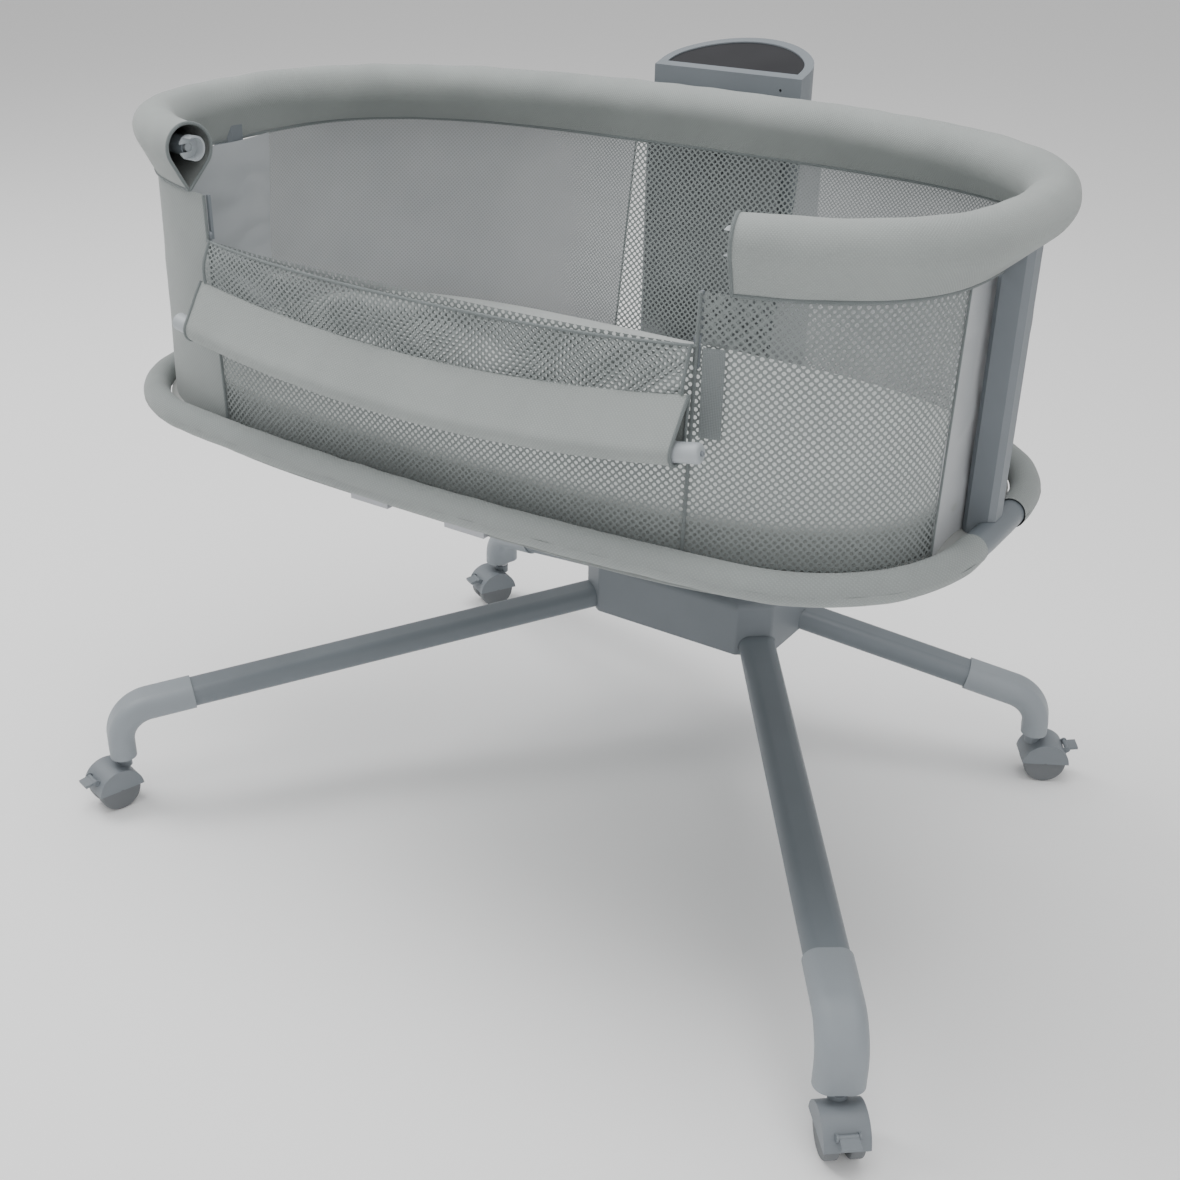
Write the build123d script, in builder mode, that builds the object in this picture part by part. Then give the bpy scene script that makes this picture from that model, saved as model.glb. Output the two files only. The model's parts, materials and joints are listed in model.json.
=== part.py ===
from build123d import *
import os
from math import asin, atan2, cos, degrees, hypot, radians, sin, sqrt, tan

os.makedirs("parts", exist_ok=True)

# ---------------------------------------------------------------- driving sizes, millimetres
# The origin is on the floor under the middle of the footprint. +X runs along the basket,
# -Y is the side with the drop-down gate, +Z is up.
gap = 0.3             # seat between two pieces that touch without a fit
running = 0.05        # radial clearance of a turning shaft

# fabric tub and its frame
ring_half_length = 451
ring_half_width = 234
ring_z = 510
ring_r = 12.5
tube_wall = 1.5
ring_shape = (5.25, 10.2, 156)       # side and end radius as shares of the half sizes, corner radius
hem_t = 1.2                          # fabric sleeve round the ring
hem_break = 90                       # length of bare ring at each end post
rim_z = 776.5
rim_tube_r = 9
rim_cover_r = 22.8
rim_inset = 8.6                      # rim ends sit this far inside the ring ends
rim_front_inset = 10.2
rim_back_flare = 33.7
rim_front_shape = (3.22, 2.23, 170)
rim_back_shape = (2.51, 1.19, 174)
seam_z = 737.5                       # lower edge of the padded rim cover
seam_inset = 9
wall_t = 3
wall_front_shape = (4.51, 9.3, 153.5)
wall_back_shape = (4.76, 2.69, 155.7)
post_w = 28
post_d = 26
post_out = 4                         # post face beyond the ring's centre line
post_chamfer = 5

# floor of the tub
floor_t = 12
panel_t = 5.2
mattress_t = 39
mattress_gap = 9                     # to the walls
arm_t = 6.2

# drop-down gate in the front side
gate_half = 263                      # half width of the opening
fold_z = 695.2
arm_reach = 29                       # the rim arms end this far outside the opening
socket_len = 11
gate_hang = 21.7                     # degrees outward of straight down when open
bar_r = 9
bar_bow = 24
bar_half = 285                       # half chord of the bowed bar
bow_tilt = 19.9                      # degrees outward of straight down when open
latch_from = 264
latch_end = 288.6
latch_r = 8.5
socket_clear = 1
nib_r = 2
nib_out = 2.4
sleeve_t = 2
pocket_h = 45                        # bar centre to the seam of its sleeve
flap_t = 1.5
zip_w = 3
zip_travel = 33

# tower and swing drive
swing_gap = 4.9                      # rim cover to the tower
tower_y = 201.4
tower_half = 95.7
tower_depth = 70
tower_top = 770
shell_t = 3
tower_corner = 12
mast_w = 60
mast_d = 40
mast_wall = 2.5
mast_y = 242
swing_z = 715
shaft_r = 10
shaft_head_r = 16
bush_r = 14
bush_flange_r = 18
plate_w = 160
plate_t = 6
plate_back = 194
plate_top = 738
arm_w = 44
arm_x = 55
swing_arm_w = 24
swing_arm_l = 140
magnet = (50, 5, 30)
coil = (56, 3.5, 60)

# control box
box_half = 89
box_front = 211
box_straight = 15
box_round = 70
box_end_r = 52                       # corner radius of the rounded back
box_top = 811                        # height of the sloping top at its front edge
box_slope = 16
bezel_t = 6
panel_inset = 10
glass_t = 3

# low hub of the stand
hub_half = 131
hub_flat = 97
hub_front = 132.5
hub_depth = 144.5
hub_nose = 26.5
hub_bottom = 165
hub_top = 230
hub_plate_z = 202
hub_plate_t = 5
screw_r = 3
jack_r = 5.5

# legs: flattened tubes from the hub to the caster stems
leg_w = 44
leg_h = 26
leg_wall = 2
socket_front = (115.4, 152.3)
socket_back = (115.4, 250.7)
socket_z = 177
stem_front = (462.5, -329.6)
stem_back = (404, 343.7)
elbow_len = 88
elbow_front_z = 130
elbow_back_z = 128
elbow_wall = 2
elbow_bottom = 65
elbow_bend = 40
leg_in_hub = 45
leg_in_elbow = 35

# casters
wheel_r = 25
wheel_w = 13.5
wheel_in = 5                         # inner face of a wheel from the middle
trail = 16
axle_r = 3
web_half = 4
hood_r = 27.8
hood_wall = 2
hood_half = 21.5
hood_low = 27                        # height of the hood's lower edge
boss_r = 9
boss_top = 57
stem_r = 5.2
lever_polar = 35
lever_arm = 31.2
lever_pin = 1.5
lever_w = 18
lever_len = 13
lever_t = 3.2
ear_t = 2
lever_down = -10
lever_up = 8
casters = {                          # name: stem side, stem end, trail direction, lever angle
    "front_left": (-1, stem_front, -105, lever_down),
    "front_right": (1, stem_front, -50, lever_down),
    "back_right": (1, stem_back, 30, lever_up),
    "back_left": (-1, stem_back, -118, lever_down),
}

# ---------------------------------------------------------------- values that follow
hem_r = ring_r + gap + hem_t
rim_half_length = ring_half_length - rim_inset
rim_front = ring_half_width - rim_front_inset
rim_back = ring_half_width + rim_back_flare
basket_y = tower_y - swing_gap - rim_cover_r - rim_back
wall_base = hem_r + 3 * gap                  # from the ring's centre line to the wall's outer face
arm_end = gate_half + arm_reach
arm_top = ring_z - hem_r - gap
arm_bottom = arm_top - arm_t
panel_top = arm_bottom - gap
floor_bottom = arm_top + gap
floor_top = floor_bottom + floor_t
wall_z = floor_top + gap
mattress_top = floor_top + gap + mattress_t
post_x = ring_half_length + post_out - post_w / 2
mast_front = mast_y - mast_d / 2
mast_back = mast_y + mast_d / 2
hub_inner_plate_top = hub_plate_z + hub_plate_t


def bisector(centre, start, end, radius):
    """Middle point of the arc about centre from start to end."""
    return centre + ((start - centre) + (end - centre)).normalized() * radius


def quarter(half_x, half_y, shape, inset=0):
    """Side, corner and end arc of an oval's quarter, as (start, end, centre, radius)."""
    side = shape[0] * half_x
    end = shape[1] * half_y
    corner = shape[2]
    side_c = Vector(0, half_y - side)
    end_c = Vector(half_x - end, 0)
    across = end_c - side_c
    along = ((side - corner) ** 2 - (end - corner) ** 2 + across.length**2) / (2 * across.length)
    off = sqrt((side - corner) ** 2 - along**2)
    unit = across.normalized()
    square = Vector(-unit.Y, unit.X)
    both = [side_c + unit * along + square * off, side_c + unit * along - square * off]
    corner_c = max(both, key=lambda point: point.X + point.Y)
    first = side_c + (corner_c - side_c).normalized() * (side - inset)
    second = end_c + (corner_c - end_c).normalized() * (end - inset)
    return [
        (Vector(0, half_y - inset), first, side_c, side - inset),
        (first, second, corner_c, corner - inset),
        (second, Vector(half_x - inset, 0), end_c, end - inset),
    ]


def half_oval(half_x, front, back, front_shape, back_shape, inset=0):
    """Arcs of an oval's right half from the front middle to the back middle: start, middle, end."""
    arcs = []
    for start, end, centre, radius in quarter(half_x, front, front_shape, inset):
        points = [start, bisector(centre, start, end, radius), end]
        arcs.append([(p.X, basket_y - p.Y) for p in points])
    for start, end, centre, radius in reversed(quarter(half_x, back, back_shape, inset)):
        points = [end, bisector(centre, start, end, radius), start]
        arcs.append([(p.X, basket_y + p.Y) for p in points])
    return arcs


def front_y(half_x, front, shape, x, inset=0):
    """Y of an oval's front side at a given x."""
    for start, end, centre, radius in quarter(half_x, front, shape, inset):
        if start.X <= x <= end.X:
            return basket_y - centre.Y - sqrt(radius**2 - (x - centre.X) ** 2)
    raise ValueError("x is outside the oval")


def draw(arcs):
    """Adds the arcs to the open line."""
    for start, middle, end in arcs:
        ThreePointArc(start, middle, end)


def finish(part, name):
    """Labels a piece and writes its file."""
    part.label = name
    export_step(part, f"parts/{name}.step")


ring_oval = (ring_half_length, ring_half_width, ring_half_width, ring_shape, ring_shape)
rim_oval = (rim_half_length, rim_front, rim_back, rim_front_shape, rim_back_shape)
seam_oval = (
    rim_half_length - seam_inset,
    rim_front - seam_inset / 2,
    rim_back - seam_inset,
    wall_front_shape,
    wall_back_shape,
)

# ---------------------------------------------------------------- base ring, hem, floor
with BuildPart() as base_ring:
    with BuildLine(Plane.XY.offset(ring_z)) as ring_path:
        draw(half_oval(*ring_oval))
    with BuildSketch(Plane(ring_path.line @ 0, x_dir=(0, 1, 0), z_dir=(1, 0, 0))):
        Circle(ring_r)
        Circle(ring_r - tube_wall, mode=Mode.SUBTRACT)
    sweep()
    mirror(about=Plane.YZ)
finish(base_ring.part, "base_ring")

with BuildPart() as hem_sleeves:
    with BuildLine(Plane.XY.offset(ring_z)) as hem_path:
        draw(half_oval(*ring_oval))
    with BuildSketch(Plane(hem_path.line @ 0, x_dir=(0, 1, 0), z_dir=(1, 0, 0))):
        Circle(hem_r)
        Circle(ring_r + gap, mode=Mode.SUBTRACT)
    sweep()
    mirror(about=Plane.YZ)
    with Locations((0, basket_y, ring_z)):
        Box(3 * ring_half_length, hem_break, 4 * hem_r, mode=Mode.SUBTRACT)
finish(hem_sleeves.part, "hem_sleeves")

with BuildPart() as floor_board:
    with BuildSketch(Plane.XY.offset(floor_bottom)):
        with BuildLine():
            draw(half_oval(*ring_oval, wall_base))
            mirror(about=Plane.YZ)
        make_face()
    extrude(amount=floor_t)
finish(floor_board.part, "floor_board")

with BuildPart() as base_panel:
    with BuildSketch(Plane.XY.offset(panel_top - panel_t)):
        with BuildLine():
            draw(half_oval(*ring_oval, wall_base))
            mirror(about=Plane.YZ)
        make_face()
    extrude(amount=panel_t)
    fillet(base_panel.edges().group_by(Axis.Z)[0], panel_t / 3)
finish(base_panel.part, "base_panel")

with BuildPart() as mattress:
    with BuildSketch(Plane.XY.offset(floor_top + gap)):
        with BuildLine():
            draw(half_oval(*ring_oval, wall_base + wall_t + mattress_gap))
            mirror(about=Plane.YZ)
        make_face()
    extrude(amount=mattress_t)
    fillet(mattress.edges().group_by(Axis.Z)[-1], mattress_t / 4)
finish(mattress.part, "mattress")

# ---------------------------------------------------------------- rim tube and padded cover
with BuildPart() as gate_gap:
    with Locations((0, basket_y - ring_half_width, rim_z)):
        Box(2 * arm_end, ring_half_width, 8 * rim_cover_r)

with BuildPart() as rim_tube:
    with BuildLine(Plane.XY.offset(rim_z)) as rim_path:
        draw(half_oval(*rim_oval))
    with BuildSketch(Plane(rim_path.line @ 0, x_dir=(0, 1, 0), z_dir=(1, 0, 0))):
        Circle(rim_tube_r)
        Circle(rim_tube_r - tube_wall, mode=Mode.SUBTRACT)
    sweep()
    mirror(about=Plane.YZ)
    add(gate_gap.part, mode=Mode.SUBTRACT)
finish(rim_tube.part, "rim_tube")

post_bottom = wall_z
post_top = rim_z + rim_tube_r + wall_t
with BuildPart() as end_posts:
    with BuildSketch(Plane.XY.offset(post_bottom)) as post_outline:
        with Locations((post_x, basket_y), (-post_x, basket_y)):
            Rectangle(post_w, post_d)
        chamfer(post_outline.vertices(), post_chamfer)
    extrude(amount=post_top - post_bottom)
    for half_length, height, radius in (
        (ring_half_length, ring_z, ring_r),
        (rim_half_length, rim_z, rim_tube_r),
    ):
        with Locations((half_length, basket_y, height), (-half_length, basket_y, height)):
            Cylinder(radius + gap, 2 * post_d, rotation=(90, 0, 0), mode=Mode.SUBTRACT)

with BuildPart() as end_post_left:
    add(end_posts.part)
    split(bisect_by=Plane.YZ, keep=Keep.BOTTOM)
finish(end_post_left.part, "end_post_left")

with BuildPart() as end_post_right:
    add(end_posts.part)
    split(bisect_by=Plane.YZ, keep=Keep.TOP)
finish(end_post_right.part, "end_post_right")

with BuildPart() as post_room:
    with BuildSketch(Plane.XY.offset(post_bottom)):
        with Locations((post_x, basket_y), (-post_x, basket_y)):
            Rectangle(post_w + 2 * gap, post_d + 2 * gap)
    extrude(amount=post_top + gap - post_bottom)

with BuildPart() as rim_cover:
    with BuildLine(Plane.XY.offset(rim_z)) as cover_path:
        draw(half_oval(*rim_oval))
    with BuildSketch(Plane(cover_path.line @ 0, x_dir=(0, 1, 0), z_dir=(1, 0, 0))):
        Circle(rim_cover_r)
        with Locations((seam_inset, seam_z - rim_z + wall_t / 2)):
            Circle(wall_t / 2)
        make_hull()
        Circle(rim_tube_r + gap, mode=Mode.SUBTRACT)
    sweep()
    mirror(about=Plane.YZ)
    add(gate_gap.part, mode=Mode.SUBTRACT)
    add(post_room.part, mode=Mode.SUBTRACT)
finish(rim_cover.part, "rim_cover")

# ---------------------------------------------------------------- fabric walls
with BuildPart() as wall_room:
    for height, oval in (
        (wall_z, (*ring_oval, wall_base + wall_t)),
        (seam_z - gap, (*seam_oval, wall_t)),
    ):
        with BuildSketch(Plane.XY.offset(height)):
            with BuildLine():
                draw(half_oval(*oval))
                mirror(about=Plane.YZ)
            make_face()
    loft(ruled=True)

with BuildPart() as wall_shell:
    for height, oval in ((wall_z, (*ring_oval, wall_base)), (seam_z - gap, seam_oval)):
        with BuildSketch(Plane.XY.offset(height)):
            with BuildLine():
                draw(half_oval(*oval))
                mirror(about=Plane.YZ)
            make_face()
    loft(ruled=True)
    add(wall_room.part, mode=Mode.SUBTRACT)
    add(post_room.part, mode=Mode.SUBTRACT)

tub_w = 4 * ring_half_length
wall_h = 4 * (seam_z - wall_z)
with BuildPart() as wall_back:
    add(wall_shell.part)
    with Locations((0, basket_y + tub_w / 2, wall_z)):
        Box(tub_w, tub_w, wall_h, mode=Mode.INTERSECT)
finish(wall_back.part, "wall_back")

panel_edge = gate_half + zip_w + gap
with BuildPart() as wall_front_left:
    add(wall_shell.part)
    with Locations((-panel_edge - tub_w / 2, basket_y - tub_w / 2, wall_z)):
        Box(tub_w, tub_w, wall_h, mode=Mode.INTERSECT)
finish(wall_front_left.part, "wall_front_left")

with BuildPart() as wall_front_right:
    add(wall_shell.part)
    with Locations((panel_edge + tub_w / 2, basket_y - tub_w / 2, wall_z)):
        Box(tub_w, tub_w, wall_h, mode=Mode.INTERSECT)
finish(wall_front_right.part, "wall_front_right")

with BuildPart() as wall_front_lower:
    add(wall_shell.part)
    with Locations((0, basket_y - tub_w / 2, fold_z - wall_h / 2)):
        Box(2 * (panel_edge - gap), tub_w, wall_h, mode=Mode.INTERSECT)
finish(wall_front_lower.part, "wall_front_lower")

# ---------------------------------------------------------------- drop-down gate
rise = (fold_z - wall_z) / (seam_z - gap - wall_z)


def wall_y(x):
    """Outer face of the front wall at the height of the fold."""
    low = front_y(ring_half_length, ring_half_width, ring_shape, x, wall_base)
    high = front_y(seam_oval[0], seam_oval[1], wall_front_shape, x)
    return low + (high - low) * rise


def rim_y(x):
    """Centre line of the rim's front side."""
    return front_y(rim_half_length, rim_front, rim_front_shape, x)


fold_y = wall_y(gate_half)
closed_y = rim_y(bar_half)
reach = hypot(closed_y - fold_y, rim_z - fold_z)
hang = Vector(0, -sin(radians(gate_hang)), -cos(radians(gate_hang)))
bar_end_point = Vector(0, fold_y, fold_z) + hang * reach
bow = Vector(0, -sin(radians(bow_tilt)), -cos(radians(bow_tilt)))
bow_radius = (bar_half**2 + bar_bow**2) / (2 * bar_bow)
bar_middle = bar_end_point + bow * bar_bow
bar_plane = Plane(bar_middle, x_dir=bow * -1, z_dir=(1, 0, 0))
bow_axis = Axis(bar_middle - bow * bow_radius, bar_plane.y_dir)
angle_closed = degrees(atan2(rim_z - fold_z, closed_y - fold_y))
gate_turn = 270 - gate_hang - angle_closed
bar_turn = 180 - (270 - bow_tilt - gate_turn)
print("fold", fold_y, fold_z, "gate range", gate_turn, "bar range", bar_turn)
print("bar chord", bar_end_point.Y, bar_end_point.Z)
print("mattress top", mattress_top)


def bow_angle(x):
    """Degrees round the bow's centre from the middle to the given x."""
    return degrees(asin(x / bow_radius))


with BuildPart() as gate_bar:
    with BuildSketch(bar_plane):
        Circle(bar_r)
        Circle(bar_r - tube_wall, mode=Mode.SUBTRACT)
    revolve(axis=bow_axis, revolution_arc=bow_angle(latch_end))
    with Locations((latch_from - gap + tub_w / 2, bar_middle.Y, bar_middle.Z)):
        Box(tub_w, 8 * bar_bow, 8 * bar_bow, mode=Mode.SUBTRACT)
    mirror(about=Plane.YZ)
finish(gate_bar.part, "gate_bar")

with BuildPart() as gate_sleeve:
    with BuildSketch(bar_plane):
        Circle(bar_r + gap + sleeve_t)
        with Locations((pocket_h, 0)):
            Circle(sleeve_t / 2)
        make_hull()
        Circle(bar_r + gap, mode=Mode.SUBTRACT)
    revolve(axis=bow_axis, revolution_arc=bow_angle(gate_half - gap))
    mirror(about=Plane.YZ)
finish(gate_sleeve.part, "gate_sleeve")

flap_half = gate_half - zip_w
flap_low_end = bar_end_point - bow * (pocket_h + sleeve_t / 2 + gap)
flap_low_end -= bow * -bar_bow * (1 - (flap_half / bar_half) ** 2)
flap_low_mid = bar_middle - bow * (pocket_h + sleeve_t / 2 + gap)
flap_high_end = Vector(0, wall_y(flap_half) - gap, fold_z - gap)
flap_high_mid = Vector(0, wall_y(0) - gap, fold_z - gap)
with BuildPart() as gate_flap:
    for end, middle in ((flap_high_end, flap_high_mid), (flap_low_end, flap_low_mid)):
        strip = Plane(end, x_dir=(1, 0, 0), z_dir=(middle - end).cross(Vector(1, 0, 0)))
        sag = (middle - end).dot(strip.y_dir)
        out = flap_t if sag > 0 else -flap_t
        with BuildSketch(strip):
            with BuildLine():
                ThreePointArc((-flap_half, 0), (0, sag), (flap_half, 0))
                Line((flap_half, 0), (flap_half, out))
                ThreePointArc((flap_half, out), (0, sag + out), (-flap_half, out))
                Line((-flap_half, out), (-flap_half, 0))
            make_face()
    loft(ruled=True)
finish(gate_flap.part, "gate_flap")

end_lift = bow_radius - sqrt(bow_radius**2 - latch_end**2) - bar_bow
latch_tip = bar_end_point - bow * end_lift
with BuildPart() as latch_body:
    with BuildSketch(bar_plane):
        Circle(latch_r)
    revolve(axis=bow_axis, revolution_arc=bow_angle(latch_end))
    with BuildSketch(bar_plane):
        Circle(bar_r)
    revolve(axis=bow_axis, revolution_arc=bow_angle(latch_from + tube_wall))
    with Locations((latch_from - tub_w / 2, bar_middle.Y, bar_middle.Z)):
        Box(tub_w, 8 * bar_bow, 8 * bar_bow, mode=Mode.SUBTRACT)
    fillet(latch_body.edges().filter_by(GeomType.CIRCLE).sort_by(Axis.X)[-1], latch_r / 3)

with BuildPart() as gate_latch_left:
    add(latch_body.part.mirror(Plane.YZ))
finish(gate_latch_left.part, "gate_latch_left")

nib_len = 12
with BuildPart() as gate_latch_right:
    add(latch_body.part)
    with Locations((latch_end, latch_tip.Y, latch_tip.Z)):
        Cylinder(nib_r + gap, 2 * nib_len, rotation=(0, 90, 0), mode=Mode.SUBTRACT)
finish(gate_latch_right.part, "gate_latch_right")

with BuildPart() as latch_button:
    with BuildSketch(Plane((latch_end - nib_len / 2, latch_tip.Y, latch_tip.Z), z_dir=(1, 0, 0))):
        Circle(nib_r)
    extrude(amount=nib_len / 2 + nib_out)
    chamfer(latch_button.edges().sort_by(Axis.X)[-1], nib_r / 2)
finish(latch_button.part, "latch_button")

# sockets in the two rim ends, open towards the gate's closing path
cup_r = latch_r + socket_clear
cup_in = arm_end - gap - socket_len
cup_wall = 2
with BuildPart() as rim_sockets:
    with BuildSketch(Plane((cup_in, closed_y, rim_z), z_dir=(1, 0, 0), x_dir=(0, 1, 0))):
        Circle(cup_r + cup_wall)
        Circle(cup_r, mode=Mode.SUBTRACT)
        with Locations((-2 * cup_r, 0)):
            Rectangle(4 * cup_r, 2 * cup_r, mode=Mode.SUBTRACT)
    extrude(amount=socket_len)
    with BuildSketch(Plane((arm_end - gap, closed_y, rim_z), z_dir=(-1, 0, 0), x_dir=(0, -1, 0))):
        Circle(cup_r + cup_wall)
        with Locations((2 * cup_r, 0)):
            Rectangle(4 * cup_r, 4 * nib_r, mode=Mode.SUBTRACT)
        Circle(2 * nib_r, mode=Mode.SUBTRACT)
    extrude(amount=cup_wall)
    with BuildSketch(Plane((arm_end - gap, rim_y(arm_end + cup_wall), rim_z), z_dir=(1, 0, 0))):
        Circle((rim_tube_r - tube_wall) * 0.65)
    extrude(amount=cup_wall * 3)
    mirror(about=Plane.YZ)
finish(rim_sockets.part, "rim_sockets")

# zips down the gate's two side edges
zip_x = gate_half + zip_w / 2
zip_y = wall_y(gate_half)
zip_low = fold_z + gap
with BuildPart() as zip_tapes:
    with Locations((zip_x, zip_y + wall_t / 2, (zip_low + seam_z) / 2),
                   (-zip_x, zip_y + wall_t / 2, (zip_low + seam_z) / 2)):
        Box(zip_w, wall_t, seam_z - zip_low - 2 * gap)
finish(zip_tapes.part, "zip_tapes")

for side, name in ((-1, "zip_puller_left"), (1, "zip_puller_right")):
    with BuildPart() as zip_puller:
        with BuildSketch(Plane.XZ.offset(-zip_y + gap + 0.2)):
            with Locations((side * zip_x, zip_low + 4)):
                SlotOverall(8, 6, rotation=90)
        extrude(amount=2.5)
        with BuildSketch(Plane.XZ.offset(-zip_y + gap + 0.7)):
            with Locations((side * zip_x, zip_low - 9)):
                SlotOverall(22, 6, rotation=90)
                SlotOverall(8, 2.4, rotation=90, mode=Mode.SUBTRACT)
        extrude(amount=1.6)
    finish(zip_puller.part, name)

# ---------------------------------------------------------------- swing bracket, shaft, drive
with BuildPart() as swing_bracket:
    with Locations((0, plate_back - plate_t / 2, (arm_bottom + plate_top) / 2)):
        Box(plate_w, plate_t, plate_top - arm_bottom)
    front_end = basket_y - ring_half_width
    for side in (-1, 1):
        with Locations((side * arm_x, (front_end + plate_back) / 2, (arm_bottom + arm_top) / 2)):
            Box(arm_w, plate_back - front_end, arm_t)
    with Locations((0, plate_back, swing_z)):
        Cylinder(shaft_r + running, 4 * plate_t, rotation=(90, 0, 0), mode=Mode.SUBTRACT)
finish(swing_bracket.part, "swing_bracket")

shaft_end = mast_back + bush_flange_r - bush_r + 2
arm_y = tower_y + shell_t + 2
with BuildPart() as swing_shaft:
    with BuildSketch(Plane.XZ.offset(-shaft_end)):
        with Locations((0, swing_z)):
            Circle(shaft_r)
    extrude(amount=shaft_end - plate_back + plate_t + 2)
    with BuildSketch(Plane.XZ.offset(-plate_back + plate_t)):
        with Locations((0, swing_z)):
            Circle(shaft_head_r)
    extrude(amount=plate_t)
    with BuildSketch(Plane.XZ.offset(-arm_y - plate_t)):
        with Locations((0, swing_z)):
            Circle(swing_arm_w * 0.7)
        with Locations((0, swing_z - swing_arm_l / 2)):
            Rectangle(swing_arm_w, swing_arm_l)
    extrude(amount=plate_t)
finish(swing_shaft.part, "swing_shaft")

magnet_y = arm_y + plate_t
magnet_z = swing_z - swing_arm_l + magnet[2] / 2
with BuildPart() as drive_magnet:
    with Locations((0, magnet_y + magnet[1] / 2, magnet_z)):
        Box(*magnet)
    chamfer(drive_magnet.edges().filter_by(Axis.Y), 3)
finish(drive_magnet.part, "drive_magnet")

with BuildPart() as drive_coil:
    with BuildSketch(Plane.XZ.offset(-mast_front)):
        with Locations((0, magnet_z)):
            RectangleRounded(coil[0], coil[2], 14)
            RectangleRounded(coil[0] / 2, coil[2] / 2, 6, mode=Mode.SUBTRACT)
    extrude(amount=coil[1])
finish(drive_coil.part, "drive_coil")

with BuildPart() as tower_mast:
    with BuildSketch(Plane.XY.offset(hub_inner_plate_top)):
        with Locations((0, mast_y)):
            Rectangle(mast_w, mast_d)
            Rectangle(mast_w - 2 * mast_wall, mast_d - 2 * mast_wall, mode=Mode.SUBTRACT)
    extrude(amount=tower_top - shell_t - gap - hub_inner_plate_top)
    with Locations((0, mast_y, swing_z)):
        Cylinder(bush_r + running, 2 * mast_d, rotation=(90, 0, 0), mode=Mode.SUBTRACT)
finish(tower_mast.part, "tower_mast")

bush_flange_t = 3
with BuildPart() as swing_bearings:
    with BuildSketch(Plane.XZ.offset(-mast_front)):
        with Locations((0, swing_z)):
            Circle(bush_flange_r)
    extrude(amount=bush_flange_t)
    with BuildSketch(Plane.XZ.offset(-mast_front)):
        with Locations((0, swing_z)):
            Circle(bush_r)
    extrude(amount=-2 * mast_wall)
    with BuildSketch(Plane.XZ.offset(-mast_back)):
        with Locations((0, swing_z)):
            Circle(bush_flange_r)
    extrude(amount=-bush_flange_t)
    with BuildSketch(Plane.XZ.offset(-mast_back)):
        with Locations((0, swing_z)):
            Circle(bush_r)
    extrude(amount=2 * mast_wall)
    with Locations((0, mast_y, swing_z)):
        Cylinder(shaft_r + running, 4 * mast_d, rotation=(90, 0, 0), mode=Mode.SUBTRACT)
finish(swing_bearings.part, "swing_bearings")

# ---------------------------------------------------------------- tower shells
with BuildPart() as tower_shell:
    with BuildSketch(Plane.XY.offset(hub_top)) as tower_outline:
        with Locations((0, tower_y + tower_depth / 2)):
            RectangleRounded(2 * tower_half, tower_depth, tower_corner)
    extrude(amount=tower_top - hub_top)
    with BuildSketch(Plane.XY.offset(hub_top)):
        with Locations((0, tower_y + tower_depth / 2)):
            RectangleRounded(2 * (tower_half - shell_t), tower_depth - 2 * shell_t,
                             tower_corner - shell_t)
    extrude(amount=tower_top - hub_top - shell_t, mode=Mode.SUBTRACT)
    with Locations((0, tower_y, swing_z)):
        Cylinder(shaft_r + 3, 4 * shell_t, rotation=(90, 0, 0), mode=Mode.SUBTRACT)

tower_split = Plane.XZ.offset(-tower_y - tower_depth / 2)
with BuildPart() as tower_front:
    add(tower_shell.part)
    split(bisect_by=tower_split, keep=Keep.TOP)
finish(tower_front.part, "tower_front")

with BuildPart() as tower_back:
    add(tower_shell.part)
    split(bisect_by=tower_split, keep=Keep.BOTTOM)
finish(tower_back.part, "tower_back")

# ---------------------------------------------------------------- control box with its touch panel
slope = Vector(0, -sin(radians(box_slope)), cos(radians(box_slope)))


def slope_plane(depth):
    """The box's sloping top, lowered by depth."""
    return Plane((0, box_front, box_top - depth), x_dir=(1, 0, 0), z_dir=slope)


box_side = box_front + box_straight
end_c = Vector(box_half - box_end_r, box_side)
back_r = (box_half**2 - 2 * box_half * box_end_r + box_round**2) / (2 * (box_round - box_end_r))
back_c = Vector(0, box_side + box_round - back_r)
join = back_c + (end_c - back_c).normalized() * back_r
apex = Vector(0, box_side + box_round)
side_point = Vector(box_half, box_side)
corner_mid = bisector(end_c, side_point, join, box_end_r)
back_mid = bisector(back_c, join, apex, back_r)


def draw_box():
    """Adds the control box's outline to the open line."""
    Line((0, box_front), (box_half, box_front))
    Line((box_half, box_front), (box_half, box_side))
    ThreePointArc((box_half, box_side), (corner_mid.X, corner_mid.Y), (join.X, join.Y))
    ThreePointArc((join.X, join.Y), (back_mid.X, back_mid.Y), (0, apex.Y))
    mirror(about=Plane.YZ)


with BuildPart() as control_block:
    with BuildSketch(Plane.XY.offset(tower_top)):
        with BuildLine():
            draw_box()
        make_face()
    extrude(amount=2 * (box_top - tower_top))

with BuildPart() as control_core:
    with BuildSketch(Plane.XY.offset(tower_top + shell_t)) as core_outline:
        with BuildLine():
            draw_box()
        make_face()
        offset(amount=-shell_t, kind=Kind.INTERSECTION)
    extrude(amount=2 * (box_top - tower_top))

with BuildPart() as panel_core:
    with BuildSketch(Plane.XY.offset(tower_top + shell_t)) as panel_outline:
        with BuildLine():
            draw_box()
        make_face()
        offset(amount=-panel_inset, kind=Kind.INTERSECTION)
    extrude(amount=2 * (box_top - tower_top))

with BuildPart() as control_body:
    add(control_block.part)
    add(control_core.part, mode=Mode.SUBTRACT)
    with BuildSketch(slope_plane(bezel_t)):
        Rectangle(8 * box_half, 8 * box_half)
    extrude(amount=4 * box_half, mode=Mode.SUBTRACT)
    with Locations((box_half - 24, box_front, box_top - bezel_t - 7)):
        Cylinder(1.6, 4 * shell_t, rotation=(90, 0, 0), mode=Mode.SUBTRACT)
finish(control_body.part, "control_body")

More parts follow.
